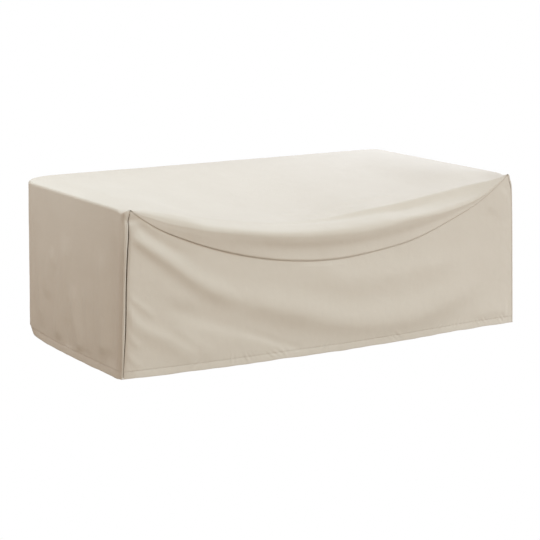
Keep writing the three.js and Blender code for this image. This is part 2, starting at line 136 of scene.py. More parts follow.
# Folds die away this close to a seam or the front hem, to an end's corners and top, to the back's, and to the
# top's ends.
SEAM_CALM = 26.0
END_CALM, END_TOP_CALM = 80.0, 150.0
BACK_CALM, BACK_TOP_CALM = (130, 260), (20, 120)
TOP_CALM = 60.0

# Soil and painted shade, from 0 to 1. Soil lies in the hem's stitched line; painted shade lies along the
# scooped seam towards its right end, as the seam's shadow line.
HEM_SOIL, SEAM_PAINTED_SHADE, SEAM_SHADE_SPAN, DARK_LINE_HALF = 0.2, 0.4, (1500, 1750), 2.5
# Painted shade lies behind each front corner, in the seam and beside it, from under the top on.
CORNER_PAINTED_SHADE, CORNER_SHADE_HALF = 0.22, 8.0
BESIDE_PAINTED_SHADE, BESIDE_HALF, BESIDE_FROM = 0.18, 62.0, (90, 260)
# Painted shade fills the slit, as a dark flap, and shades the front panel beside it: all the way, and wider
# low down.
FLAP_PAINTED_SHADE = 1.0
SLIT_PAINTED_SHADE, SLIT_SHADE_FALLS, SLIT_SHADE_FROM = 0.16, 9.0, (50, 120)
LOW_PAINTED_SHADE, LOW_SHADE_FALLS, LOW_SHADE_AT, LOW_SHADE_HALF = 0.22, 24.0, 115.0, 95.0

# The stitches: how long one is, how far the topstitched line lies from a strip's edge, and past what distance
# from a line a point is as good as any.
STITCH, TOPSTITCH, STITCH_FAR = 3.6, 8.0, 10.0
# The thread and the furrow fade out between these distances from the line, and the thread also between these
# values of a sine along it, from one stitch to the next.
THREAD_HALF, SINK_HALF, STITCH_GAP = (0.25, 0.6), (0.3, 2.4), (-0.75, -0.35)

# Colours. The canvas is mottled between two, and soil, painted shade and thread go over it.
CANVAS, CANVAS_SHADE = (0.76, 0.71, 0.62), (0.71, 0.66, 0.57)
SOIL_AND_SHADE_COLOUR, THREAD = (0.34, 0.21, 0.12), (0.80, 0.76, 0.67)
WEAVE_SCALE = 260.0

# Sections through the front of the top, along the bench. edge: where the top turns down; ridge: the crest of
# the roll in front of it; hollow: how far the slope between the two sinks in; lip: the roll's foremost line,
# proud of the seam; tuck: how far the cloth under it draws in before the seam; seam: the scooped seam. Each
# is a drop below the top, and tuck and each _back say how far that line lies behind the seam.
SECTION_NAMES = ("edge", "edge_back", "ridge", "ridge_back", "hollow", "lip", "lip_back", "tuck", "seam")
SECTIONS = (
    (27, 0, 0, 0, 0, 0, 0, 0, 0, 0),
    (71, 1, 20, 4, 10, 0, 19, -1, -1, 30),
    (116, 6, 32, 11, 15, 0, 33, -3, -2, 59.8),
    (162, 14, 40, 21, 17, 0, 50, -5, -4, 87.1),
    (209, 24, 46, 32, 18, 0, 65, -8, -6, 110.3),
    (293, 42, 54, 51, 20, 0, 86, -12, -8, 146),
    (375, 62, 60, 74, 26, 0, 106, -15, -9, 178),
    (524, 90, 68, 101, 38, 0, 131, -17, -8, 226),
    (743, 122, 74, 133, 38, 1, 163, -15, -1, 275),
    (1003, 130, 88, 146, 37, 3, 181, -13, 2, 300),
    (1263, 108, 88, 140, 36, 6, 176, -9, 2, 283),
    (1443, 92, 88, 132, 34, 9, 154, -6, 3, 253),
    (1650, 64, 84, 108, 32, 4, 132, -3, 1, 181),
    (1838, 34, 60, 66, 17, 1, 80, -1, 0, 95),
    (1915, 20, 34, 32, 8, 0, 38, 0, 0, 45),
    (1978, 0, 0, 0, 0, 0, 0, 0, 0, 0),
)
# How far above and behind the edge the curve's first point lies, in full from this far off the ends on.
LEAD_UP, LEAD_BACK, LEAD_FULL = 5, 28, 4 * EAR_IN
HOLLOW_BACK = 0.9  # how far back the slope's hollow goes for each millimetre down
ROLL_DOWN, ROLL_BACK = 0.45, 0.3  # a point of the roll, between ridge and lip
UNDER_LIP, UNDER_LIP_BACK, TUCK_AT = 0.25, 0.25, 0.56  # points between lip and seam
# How far the cloth stands out at the scooped seam, along it, and from what share of the apron's way down.
SEAM_LIFT = ((27, 0), (71, 0.8), (110, 1.2), (780, 1.2), (920, 0.5), (1100, -0.1), (1900, -0.1), (1978, 0))
LIFT_FROM = 0.86

# Ridges (out above zero) and troughs (below) on the front panel. above and below are the widths of the flanks
# on the path's left and right hand, at its start and end: above and below a path that runs to the right.
# fade is the share of the path over which the fold rises, and that over which it dies away.
FRONT_FOLDS = (
    dict(out=13, path=((24, 604), (100, 548), (200, 478), (300, 405), (400, 342), (500, 294), (620, 262)),
         above=(24, 52), below=(20, 46), fade=(0.1, 0.25)),
    dict(out=12, path=((480, 300), (620, 255), (750, 214), (900, 170), (1050, 128), (1300, 100), (1520, 118),
                       (1700, 178), (1860, 222)),
         above=(56, 88), below=(50, 58), fade=(0.16, 0.2)),
    dict(out=7, path=((820, 372), (1000, 330), (1150, 296), (1400, 312), (1600, 326), (1760, 352)),
         above=(60, 50), below=(62, 62), fade=(0.25, 0.25)),
    dict(out=-6, path=((200, 330), (330, 262), (447, 215), (643, 140), (844, 80), (950, 50)),
         above=(60, 80), below=(50, 56), fade=(0.3, 0.25)),
    dict(out=-4, path=((172, 310), (280, 247), (400, 200), (540, 147), (600, 125)),
         above=(30, 30), below=(30, 30), fade=(0.25, 0.3)),
    dict(out=-3, path=((500, 165), (540, 147), (643, 108), (743, 66), (864, 24)),
         above=(22, 20), below=(16, 13), fade=(0.3, 0.15)),
    dict(out=1.5, path=((70, 446), (150, 388), (220, 338), (300, 300), (390, 246)),
         above=(26, 34), below=(28, 34), fade=(0.2, 0.3)),
    dict(out=6, path=((6, 322), (30, 268), (70, 218), (150, 172), (230, 128), (300, 78), (370, 26)),
         above=(20, 32), below=(28, 44), fade=(0.15, 0.2)),
    dict(out=-6, path=((52, 652), (100, 606), (170, 556), (260, 506), (350, 466)),
         above=(22, 26), below=(20, 26), fade=(0.12, 0.45)),
    dict(out=3, path=((225, 204), (300, 146), (370, 92), (430, 44)),
         above=(26, 32), below=(24, 30), fade=(0.2, 0.2)),
    dict(out=2.6, path=((12, 360), (50, 326), (100, 286), (160, 236)),
         above=(13, 18), below=(12, 16), fade=(0.15, 0.3)),
    dict(out=2.6, path=((8, 208), (30, 180), (90, 118)), above=(12, 16), below=(10, 16), fade=(0.15, 0.3)),
    dict(out=2.4, path=((8, 122), (30, 92), (96, 42)), above=(12, 16), below=(10, 16), fade=(0.15, 0.3)),
    dict(out=4, path=((1740, 62), (1840, 66), (1975, 60)), above=(50, 50), below=(30, 30), fade=(0.3, 0.1)),
    dict(out=3, path=((1880, 520), (1925, 585), (1965, 640)),
         above=(40, 30), below=(60, 50), fade=(0.25, 0.25)),
    dict(out=1.6, path=((880, 420), (884, 350), (878, 280)), above=(38, 38), below=(38, 38), fade=(0.3, 0.3)),
)
# On the ends, across is measured from the front. The paths run upwards, so above is the flank towards it.
LEFT_FOLDS = (
    dict(out=9, path=((160, 60), (196, 300), (198, 540)), above=(60, 60), below=(46, 46), fade=(0.1, 0.25)),
    dict(out=10, path=((388, 34), (408, 110), (452, 205), (470, 330)),
         above=(44, 50), below=(26, 34), fade=(0.1, 0.3)),
    dict(out=11, path=((628, 40), (592, 240), (572, 400), (556, 540)),
         above=(46, 56), below=(30, 38), fade=(0.1, 0.25)),
    dict(out=8, path=((726, 200), (736, 300), (668, 450)), above=(38, 44), below=(30, 34), fade=(0.2, 0.25)),
    dict(out=-6, path=((500, 30), (520, 100), (506, 170)), above=(30, 30), below=(26, 26), fade=(0.1, 0.3)),
    dict(out=5, path=((300, 30), (330, 240), (300, 380)), above=(40, 40), below=(34, 34), fade=(0.2, 0.3)),
    dict(out=7, path=((800, 60), (830, 260), (800, 480)), above=(30, 36), below=(30, 36), fade=(0.2, 0.3)),
    dict(out=-8, path=((76, 20), (78, 240), (74, 420), (66, 610)),
         above=(110, 70), below=(44, 40), fade=(0.1, 0.2)),
)
RIGHT_FOLDS = (
    dict(out=6, path=((170, 40), (150, 260), (190, 500)), above=(50, 60), below=(40, 50), fade=(0.1, 0.25)),
    dict(out=6, path=((430, 30), (470, 210), (455, 430)), above=(36, 48), below=(30, 40), fade=(0.1, 0.25)),
    dict(out=7, path=((700, 36), (655, 230), (640, 520)), above=(46, 56), below=(36, 40), fade=(0.1, 0.25)),
    dict(out=4, path=((840, 40), (850, 180), (800, 360)), above=(30, 40), below=(30, 34), fade=(0.1, 0.25)),
)
BACK_FOLDS = (
    dict(out=6, path=((180, 560), (420, 400), (760, 280), (1150, 240)),
         above=(44, 90), below=(40, 80), fade=(0.2, 0.5)),
    dict(out=6, path=((1830, 560), (1600, 370), (1300, 250), (1000, 190)),
         above=(44, 90), below=(40, 80), fade=(0.2, 0.5)),
    dict(out=5, path=((640, 40), (600, 220), (560, 460)), above=(56, 80), below=(50, 70), fade=(0.1, 0.5)),
    dict(out=4, path=((1360, 30), (1400, 200), (1430, 430)), above=(50, 70), below=(50, 70), fade=(0.1, 0.5)),
    dict(out=3, path=((960, 30), (985, 160), (980, 330)), above=(60, 70), below=(50, 60), fade=(0.1, 0.5)),
)
# On the top, across the bench and back from the front edge.
TOP_FOLDS = (
    dict(out=3.6, path=((820, 46), (960, 66), (1150, 74), (1300, 60)),
         above=(14, 14), below=(13, 13), fade=(0.3, 0.3)),
    dict(out=3.2, path=((1050, 128), (1300, 150), (1560, 138)),
         above=(22, 22), below=(20, 20), fade=(0.3, 0.3)),
    dict(out=2.2, path=((560, 70), (820, 120), (1080, 160)), above=(18, 22), below=(16, 20), fade=(0.3, 0.3)),
    dict(out=3.0, path=((128, 200), (134, 560), (150, 960)), above=(40, 50), below=(40, 50), fade=(0.2, 0.2)),
)


def smooth_curve(places, values):
    """A function of place through the given points, with a tangent at each taken from its neighbours."""
    places, values = np.asarray(places, float), np.asarray(values, float)
    slopes = np.gradient(values, places)

    def read(at):
        at = np.clip(at, places[0], places[-1])
        i = np.clip(np.searchsorted(places, at) - 1, 0, len(places) - 2)
        span = places[i + 1] - places[i]
        t = (at - places[i]) / span
        a, b = values[i], values[i + 1]
        return (
            a * (2 * t**3 - 3 * t**2 + 1)
            + slopes[i] * span * (t**3 - 2 * t**2 + t)
            + b * (3 * t**2 - 2 * t**3)
            + slopes[i + 1] * span * (t**3 - t**2)
        )

    return read


def smoothstep(x, low, high):
    t = np.clip((x - low) / (high - low), 0, 1)
    return t * t * (3 - 2 * t)


def lerp(a, b, t):
    return a + (b - a) * t


def bell(away, wide):
    return np.exp(-((away / wide) ** 2))


section = {
    name: smooth_curve([row[0] for row in SECTIONS], [row[i + 1] for row in SECTIONS])
    for i, name in enumerate(SECTION_NAMES)
}
hem_out = smooth_curve([row[0] for row in FRONT_HEM], [row[1] for row in FRONT_HEM])
hem_drop = smooth_curve([row[0] for row in FRONT_HEM], [row[2] for row in FRONT_HEM])
lift_at_seam = smooth_curve(*zip(*SEAM_LIFT))
groove_depth = smooth_curve(*zip(*GROOVE))
strip_lift = smooth_curve(*zip(*STRIP_LIFT))
left_strip = smooth_curve(*zip(*LEFT_STRIP))
right_strip = smooth_curve(*zip(*RIGHT_STRIP))
slit = smooth_curve(*zip(*SLIT))


PATH_STEPS = 12  # for each of a path's points, to measure its length
FOLD_POINTS = 25  # of a fold's crest, as a chain


def through(path, count):
    """count points evenly spread along a smooth curve through the path's points."""
    path = np.asarray(path, float)
    steps = np.arange(len(path))
    fine = np.linspace(0, len(path) - 1, PATH_STEPS * len(path))
    curve = np.stack([smooth_curve(steps, path[:, k])(fine) for k in (0, 1)], -1)
    run = np.r_[0, np.cumsum(np.linalg.norm(np.diff(curve, axis=0), axis=1))]
    even = np.linspace(0, run[-1], count)
    return np.stack([np.interp(even, run, curve[:, k]) for k in (0, 1)], -1)


def fold_height(fold, across, up):
    """How far one fold moves each point of its face outwards."""
    crest = through(fold["path"], FOLD_POINTS)
    nearest = np.full(across.shape, np.inf)
    along = np.zeros(across.shape)
    side = np.zeros(across.shape)
    for i, (a, b) in enumerate(zip(crest[:-1], crest[1:])):
        run = b - a
        t = np.clip(((across - a[0]) * run[0] + (up - a[1]) * run[1]) / (run @ run), 0, 1)
        away = np.stack([across - a[0] - t * run[0], up - a[1] - t * run[1]])
        distance = np.hypot(*away)
        closer = distance < nearest
        nearest = np.where(closer, distance, nearest)
        along = np.where(closer, (i + t) / (FOLD_POINTS - 1), along)
        side = np.where(closer, run[0] * away[1] - run[1] * away[0], side)
    widths = np.where(side > 0, lerp(*fold["above"], along), lerp(*fold["below"], along))
    start, end = fold["fade"]
    fade = smoothstep(along, 0, start) * smoothstep(1 - along, 0, end)
    return fold["out"] * fade * bell(nearest, widths)


def fold_heights(folds, across, up):
    return sum(fold_height(fold, across, up) for fold in folds)


def rounded(a, b):
    """Rounds a block's edge. a and b grow from 0, where the rounding starts, to its radius at the edge."""
    corner = (a > 0) & (b > 0)
    long = np.hypot(np.where(corner, a, 1), np.where(corner, b, 1))
    shrink = np.where(corner, np.maximum(a, b) / long, 1)
    return a * shrink, b * shrink


def rounded_block(x, y, z):
    """Points of the sharp block, with its top edges and upright corners rounded."""
    left = x < LENGTH / 2
    inside = np.where(left, x, LENGTH - x)
    top = lerp(ROUND["topLeft"], ROUND["topRight"], smoothstep(x, *ROUND_CHANGES))
    low = HEIGHT - top
    out, up = rounded(top - inside, z - low)
    inside, z = top - out, low + up
    back, up = rounded(y - (DEPTH - top), z - low)
    y, z = DEPTH - top + back, low + up
    rear = np.where(left, ROUND["backLeft"], ROUND["backRight"])
    out, back = rounded(rear - inside, y - (DEPTH - rear))
    inside, y = rear - out, DEPTH - rear + back
    front = np.where(left, ROUND["frontLeft"], ROUND["frontRight"])
    out, fore = rounded(front - inside, front - y)
    inside, y = front - out, front - fore
    return np.where(left, inside, LENGTH - inside), y, z


def flared(x, y, z):
    """Spreads the cover towards its hem, like a tent, and tucks the hem in at the back left corner."""
    spread = 1 - z / HEIGHT
    across, deep = x / LENGTH - 0.5, y / DEPTH - 0.5
    left = lerp(FLARE["left"], FLARE["leftBack"], smoothstep(y, *FLARE_FALLS)) * spread
    right = FLARE["right"] * np.maximum(spread, 0) ** RIGHT_BULGE
    x = x + 2 * across * np.where(across < 0, left, right)
    at_corner = smoothstep(y, *TUCK["from"]) * smoothstep(-x, *TUCK["to"])
    tucked = TUCK["in"] * np.clip(1 - z / TUCK["height"], 0, 1) * at_corner
    y = y + 2 * deep * np.where(deep < 0, FLARE["front"], FLARE["back"]) * spread
    return np.stack([x + tucked, y - TUCK["forwards"] * tucked, z], -1)


def from_end(x):
    return np.minimum(x, LENGTH - x)


def eared(x, y, z):
    """Lifts the ear at each front top corner. Cloth is drawn in below it, and the end's edge falls behind."""
    below = HEIGHT - z
    from_ear = np.abs(from_end(x) - EAR_IN)
    near = np.exp(-(from_ear**2 + y**2 + below**2) / EAR_REACH**2)
    edge = np.exp(-(from_end(x) ** 2 + below**2) / DIP_REACH**2)
    just_behind = bell(y - DIP_BEHIND, DIP_REACH)
    caved = np.exp(-(((below - CREASE_BELOW) / CREASE_WIDE) ** 2) - (from_ear**2 + y**2) / CREASE_REACH**2)
    y = y + EAR_CREASE * caved * (x < LENGTH / 2)
    beyond = np.maximum(x - (LENGTH - EAR_IN), 0)
    x = x - EAR_DRAW * beyond * smoothstep(z, *DRAW_HEIGHTS) * bell(y, DRAW_REACH)
    return x, y, z + EAR_RISE * near - DIP_FALL * edge * just_behind


def panel_sides(z):
    """Where the front panel's left and right edges hang, from the left end."""
    return left_strip(z) + slit(z), LENGTH - right_strip(z)


def top_surface(x, y):
    """The top: it sags between the back rail and the arms, down to its front edge."""
    start = section["edge_back"](x)
    px, py, pz = rounded_block(x, start + y * (DEPTH - start) / DEPTH, np.full_like(x, HEIGHT))
    share = np.clip(y / (DEPTH - BACK_RAIL), 0, 1)
    left = 1 - share
    slope = left**2 / (left + RAIL_SOFT) * (1 + RAIL_SOFT) * (1 + TOP_SLACK * share)
    over_arm = lerp(1, smoothstep(from_end(x), *ARM_FALLS), smoothstep(y, *ARM_STARTS))
    pz = pz - section["edge"](x) * slope * over_arm
    pz = pz + fold_heights(TOP_FOLDS, x, y) * smoothstep(from_end(x), 0, TOP_CALM)
    return flared(*eared(px, py, pz))


def apron_surface(x, t):
    """The apron: from the top's front edge at t = 0, over the roll, down to the scooped seam at t = 1."""
    row = {name: curve(x) for name, curve in section.items()}
    lead = smoothstep(from_end(x), EAR_IN, LEAD_FULL)
    under = row["seam"] - row["lip"]
    middle_drop = lerp(row["edge"], row["ridge"], 0.5) + row["hollow"]
    middle_back = lerp(row["edge_back"], row["ridge_back"], 0.5) + HOLLOW_BACK * row["hollow"]
    # The section's points: how far each lies below the top, and behind the seam.
    drops, backs = (np.stack(values) for values in zip(
        (row["edge"] - LEAD_UP * lead, row["edge_back"] + LEAD_BACK * lead),
        (row["edge"], row["edge_back"]),
        (middle_drop, middle_back),
        (row["ridge"], row["ridge_back"]),
        (lerp(row["ridge"], row["lip"], ROLL_DOWN), lerp(row["lip_back"], row["ridge_back"], ROLL_BACK)),
        (row["lip"], row["lip_back"]),
        (row["lip"] + UNDER_LIP * under, lerp(row["lip_back"], row["tuck"], UNDER_LIP_BACK)),
        (row["lip"] + TUCK_AT * under, row["tuck"]),
        (row["seam"], 0 * x),
        (row["seam"] + UNDER_LIP * under, 0 * x),
    ))
    # A Catmull-Rom curve through them, less the first and last, which only steer it.
    at = t * (len(drops) - 3)
    i = np.clip(at.astype(int), 0, len(drops) - 4)
    f = at - i

    def curve(values):
        a, b, c, d = (np.take_along_axis(values, (i + k)[None], 0)[0] for k in range(4))
        square, cube = 2 * a - 5 * b + 4 * c - d, 3 * b - a - 3 * c + d
        return 0.5 * (2 * b + (c - a) * f + square * f**2 + cube * f**3)

    lift = lift_at_seam(x) * smoothstep(t, LIFT_FROM, 1.0)
    return flared(*eared(x, curve(backs) - lift, HEIGHT - curve(drops)))


def seam_height(seam_x):
    return HEIGHT - np.maximum(section["seam"](seam_x), HORN_TOP)


def front_surface(across, z):
    """The front panel's face: across runs from 0 to 1 between its edges, and z from the hem to the seam."""
    seam_x = lerp(EAR_IN, LENGTH - EAR_IN, across)
    seam_z = seam_height(seam_x)
    up = z / seam_z
    low, high = panel_sides(z)
    x = lerp(lerp(low, high, across), seam_x, up**PANEL_HANG)
    bow = hem_out(across * LENGTH) * np.sin(np.pi / 2 * (1 - up))
    sideways = np.minimum(x - low, high - x)
    calm = smoothstep(np.minimum(sideways, seam_z - z), 0, SEAM_CALM) * smoothstep(z, 0, SEAM_CALM)
    fold = fold_heights(FRONT_FOLDS, x, z) * calm
    beside_slit = np.where(x < LENGTH / 2, 1, 0)
    groove = groove_depth(z) * bell(sideways, GROOVE_WIDE) * smoothstep(seam_z - z, 0, GROOVE_ENDS)
    fold = fold - beside_slit * groove
    return flared(*eared(x, -bow - fold, z - hem_drop(across * LENGTH) * (1 - up)))


def end_surface(side, y, z):
    """The left (side -1) or right (side 1) end."""
    folds = LEFT_FOLDS if side < 0 else RIGHT_FOLDS
    x, py, pz = rounded_block(np.full_like(y, 0.0 if side < 0 else LENGTH), y, z)
    sideways = np.minimum(y, DEPTH - ROUND["backLeft"] - y)
    calm = smoothstep(sideways, 0, END_CALM) * smoothstep(HEIGHT - z, 0, END_TOP_CALM)
    pinch = CORNER_PINCH * bell(y - PINCH_AT, PINCH_WIDE) * smoothstep(y, 0, PINCH_STARTS)
    pinch = pinch * smoothstep(HEIGHT - z, 0, PINCH_TOP)
    pinch = pinch * lerp(HEM_PINCH, 1, smoothstep(z, *PINCH_FADES))
    x = x + side * (fold_heights(folds, y, z) * calm - pinch)
    return flared(*eared(x, py, pz))


def strip_surface(side, inside, z):
    """The part of the body cloth that wraps onto the front, inside millimetres in from the corner."""
    width = left_strip(z) if side < 0 else right_strip(z)
    lift = strip_lift(z) * (inside / width) ** LIFT_CURVE * (1 if side < 0 else TIGHT_RIGHT)
    x, y, z = rounded_block(inside if side < 0 else LENGTH - inside, 0 * z, z)
    return flared(*eared(x, y - lift, z))


def back_surface(x, z, inside=0.0):
    """The back face, or one that lies a little inside it."""
    px, py, pz = rounded_block(x, np.full_like(x, DEPTH - inside), z)
    calm = smoothstep(from_end(x), *BACK_CALM) * smoothstep(HEIGHT - z, *BACK_TOP_CALM)
    return flared(px, py + fold_heights(BACK_FOLDS, x, z) * calm, pz)


def lines(*stops):
    """Grid lines from stop to stop. Each stop but the first is (place, number of cells up to it)."""
    out = [stops[0]]
    for place, cells in stops[1:]:
        out += list(np.linspace(out[-1], place, cells + 1)[1:])
    return np.array(out, float)


WELD, WELD_SHIFT = 0.02, 0.137  # points of two patches this close are one; shifted, so that none is on a step


class Cloth:
    """One cloth's outer face, gathered from patches that share the points along their edges."""

    def __init__(self):
        self.points, self.faces, self.uvs, self.thickness, self.count = [], [], [], [], 0
        self.marks = []  # for each point: soil and painted shade, distance from the stitched line, place along it

    def patch(self, points, uv, thickness=CLOTH, turned=False, soil_and_shade=0.0, sewn=(STITCH_FAR, 0)):
        """turned faces the patch the other way. For each point, soil and painted shade, from 0 to 1, darken
        the cloth: soil in the hems' stitched lines, painted shade in the seams, behind the corners and in the
        slit; sewn is how far it lies from the stitched line, and where along it, in millimetres."""
        rows, columns = points.shape[:2]
        index = self.count + np.arange(rows * columns).reshape(rows, columns)
        quads = np.stack([index[:-1, :-1], index[1:, :-1], index[1:, 1:], index[:-1, 1:]], -1).reshape(-1, 4)
        self.faces.append(quads[:, ::-1] if turned else quads)
        self.points.append(points.reshape(-1, 3))
        self.uvs.append(np.asarray(uv).reshape(-1, 2))
        self.thickness.append(np.broadcast_to(thickness, (rows, columns)).ravel())
        away = np.clip(sewn[0], -STITCH_FAR, STITCH_FAR)
        marks = (soil_and_shade, away, sewn[1])
        self.marks.append(np.stack([np.broadcast_to(mark, (rows, columns)).ravel() for mark in marks]))
        self.count += rows * columns

    def build(self, name, material):
        """Welds the patches, crumples them a little and gives them their thickness.

        Returns the closed sheet and its outer face's area in square metres."""
        points, quads = np.concatenate(self.points), np.concatenate(self.faces)
        uvs, thickness = np.concatenate(self.uvs), np.concatenate(self.thickness)
        marks = np.hstack(self.marks)
        cells = np.round(points / WELD + WELD_SHIFT)
        _, first, welded = np.unique(cells, axis=0, return_index=True, return_inverse=True)
        welded = welded.ravel()
        corner_uvs, quads = uvs[quads], welded[quads]
        points, thickness, marks = points[first], thickness[first], marks[:, first]

        # Where a patch closes to a point, its quads have two like corners and become triangles.
        same = quads == np.roll(quads, -1, axis=1)
        keep = same.sum(1) < 2
        quads, corner_uvs, same = quads[keep], corner_uvs[keep], same[keep]

        def normals():
            a, b, c, d = (points[quads[:, k]] for k in range(4))
            area = np.cross(c - a, d - b)
            total = np.zeros_like(points)
            for k in range(4):
                np.add.at(total, quads[:, k], area)
            return total / np.maximum(np.linalg.norm(total, axis=1, keepdims=True), 1e-9)

        points = points + normals() * crumple(points)[:, None]
        inner = points - normals() * thickness[:, None]
        number = len(points)
        faces = [list(q[~s]) for q, s in zip(quads, same)]
        face_uvs = [uv[~s] for uv, s in zip(corner_uvs, same)]
        open_edges = {}
        for face, uv in zip(faces, face_uvs):
            for k in range(len(face)):
                a, b = face[k], face[(k + 1) % len(face)]
                if (b, a) in open_edges:
                    del open_edges[b, a]
                else:
                    open_edges[a, b] = (uv[k], uv[(k + 1) % len(face)])
        rims = [[a, a + number, b + number, b] for a, b in open_edges]
        rim_uvs = [np.array([ua, ua, ub, ub]) for ua, ub in open_edges.values()]
        backs = [[v + number for v in reversed(face)] for face in faces]
        every_face = faces + backs + rims
        every_uv = np.concatenate([np.concatenate(face_uvs), np.concatenate([uv[::-1] for uv in face_uvs]),
                                   np.concatenate(rim_uvs)])
        mesh = bpy.data.meshes.new(name)
        mesh.from_pydata(to_frame(np.concatenate([points, inner])).tolist(), [], every_face)
        mesh.uv_layers.new(name="weave").data.foreach_set("uv", (every_uv * MM).ravel())
        for title, values in zip(("soil_and_shade", "stitch_away", "stitch_along"), marks):
            mesh.attributes.new(title, "FLOAT", "POINT").data.foreach_set("value", np.tile(values, 2))
        mesh.shade_smooth()
        mesh.materials.append(material)
        obj = bpy.data.objects.new(name, mesh)
        bpy.context.collection.objects.link(obj)
        area = 0.5 * np.linalg.norm(np.cross(points[quads[:, 2]] - points[quads[:, 0]],
                                             points[quads[:, 3]] - points[quads[:, 1]]), axis=1).sum()
        return obj, area * MM**2


def to_frame(points):
    """From millimetres on the bench to metres in the frame."""
    return (points - ORIGIN) * MM


def crumple(points):
    """Slight unevenness of a slack cloth."""
    return np.array([
        sum(high * noise.noise(Vector(point) / size) for high, size in CRUMPLES) for point in points.tolist()
    ])


def grid(us, vs):
    return np.meshgrid(us, vs, indexing="ij")


def run_along(points):
    """The distance of each of a patch's points from its first column's, along its own row."""
    step = np.linalg.norm(np.diff(points, axis=1), axis=2)
    return np.concatenate([np.zeros((len(points), 1)), np.cumsum(step, axis=1)], axis=1)


def hem_relief(along, z):
    """The stitched line at the top of the hem draws the cloth in, and puckers it here and there."""
    top = HEM_HEIGHT + HEM_ABOVE
    drawn = HEM_FLARE * smoothstep(top - z, 0, top) - FURROW * bell(z - HEM_HEIGHT, FURROW_HALF)
    pull = PUCKER_LEAST + sum(bell(along - at, wide) for at, wide in PUCKERS)
    # Sines of unlike lengths keep the puckers' lean, pitch and size from repeating.
    lean = PUCKER_LEAN * np.sin(along / 97 + 1)
    phase = 2 * np.pi * (along + lean * z) / PUCKER_PITCH
    phase = phase + 1.6 * np.sin(along / 61) + 1.1 * np.sin(along / 27 + 2)
    wave = 0.6 * np.sin(phase) + 0.4 * np.sin(0.61 * phase + 1)
    return drawn + PUCKER_OUT * pull * wave * bell(z - PUCKER_AT, PUCKER_HALF)


def hem_waver(along, z):
    """How far the hem's lower edge leaves its line, up or down, unevenly."""
    wave = np.sin(along / 47 + 2 * np.sin(along / 151)) + 0.6 * np.sin(along / 19 + np.sin(along / 83))
    return HEM_WAVER * wave * bell(z, WAVER_HIGH)


# A darkened line: soil along stitched lines, painted shade along the seams and the corners' creases.
def darkened_line(away, deep, wide=DARK_LINE_HALF):
    return deep * bell(away, wide)


# Grid lines, closer together round the corners, the seams and the hem.
WRAP = 22.0  # how far the body cloth wraps onto the back
CORNER = np.array([0, 1.5, 3, 5, 8, 12, 17, EAR_IN - STRIP_LAP, 24.5, EAR_IN])  # across a strip, at the ear
FRONT_X = np.concatenate([
    lines(EAR_IN, (60, 12), (160, 20), (400, 36)),
    lines(400, (1700, 170))[1:],
    lines(1700, (1880, 28), (1950, 18), (LENGTH - EAR_IN, 10))[1:],
])
PANEL_X = np.concatenate([FRONT_X[FRONT_X < 400], lines(400, (1700, 260)), FRONT_X[FRONT_X > 1700]])
TOP_X = np.concatenate([CORNER[:-1], FRONT_X, (LENGTH - CORNER[:-1])[::-1]])
WRAP_X = TOP_X[(TOP_X >= WRAP) & (TOP_X <= LENGTH - WRAP)]
BACK_X = TOP_X[(TOP_X >= 17) & (TOP_X <= LENGTH - 17)][::2]  # every other line will do for the back panel
BACK_X = np.concatenate([[WRAP / 2], BACK_X, [LENGTH - WRAP / 2]])
DEPTH_Y = lines(0, (5, 3), (60, 8), (200, 12), (900, 32), (1040, 10), (DEPTH - WRAP, 5), (DEPTH, 5))
HEM_ROWS = np.concatenate([
    lines(0, (2, 1), (8, 2), (24, 3), (HEM_HEIGHT - FURROW_HALF, 1), (HEM_HEIGHT, 1)),
    lines(HEM_HEIGHT, (HEM_HEIGHT + FURROW_HALF, 1), (38, 1), (50, 2))[1:],
])
END_ROWS = np.concatenate([
    HEM_ROWS,
    lines(50, (200, 12), (560, 28), (HEIGHT - WRAP, 12), (HEIGHT - WRAP / 2, 3), (HEIGHT, 5))[1:],
])
BACK_ROWS = END_ROWS[END_ROWS <= HEIGHT - 10]
WRAP_IN = lines(0, (WRAP, 5))
APRON_T = lines(0, (1, 30))
LAP_T = np.array([1, 0.96, 0.92])  # the front panel's lap behind the apron
LAP_STARTS = 3 * HORN_TOP  # how deep the seam lies under the top where that lap starts
PANEL_UPS = lines(0, (0.9, 70), (1, 14))[1:]


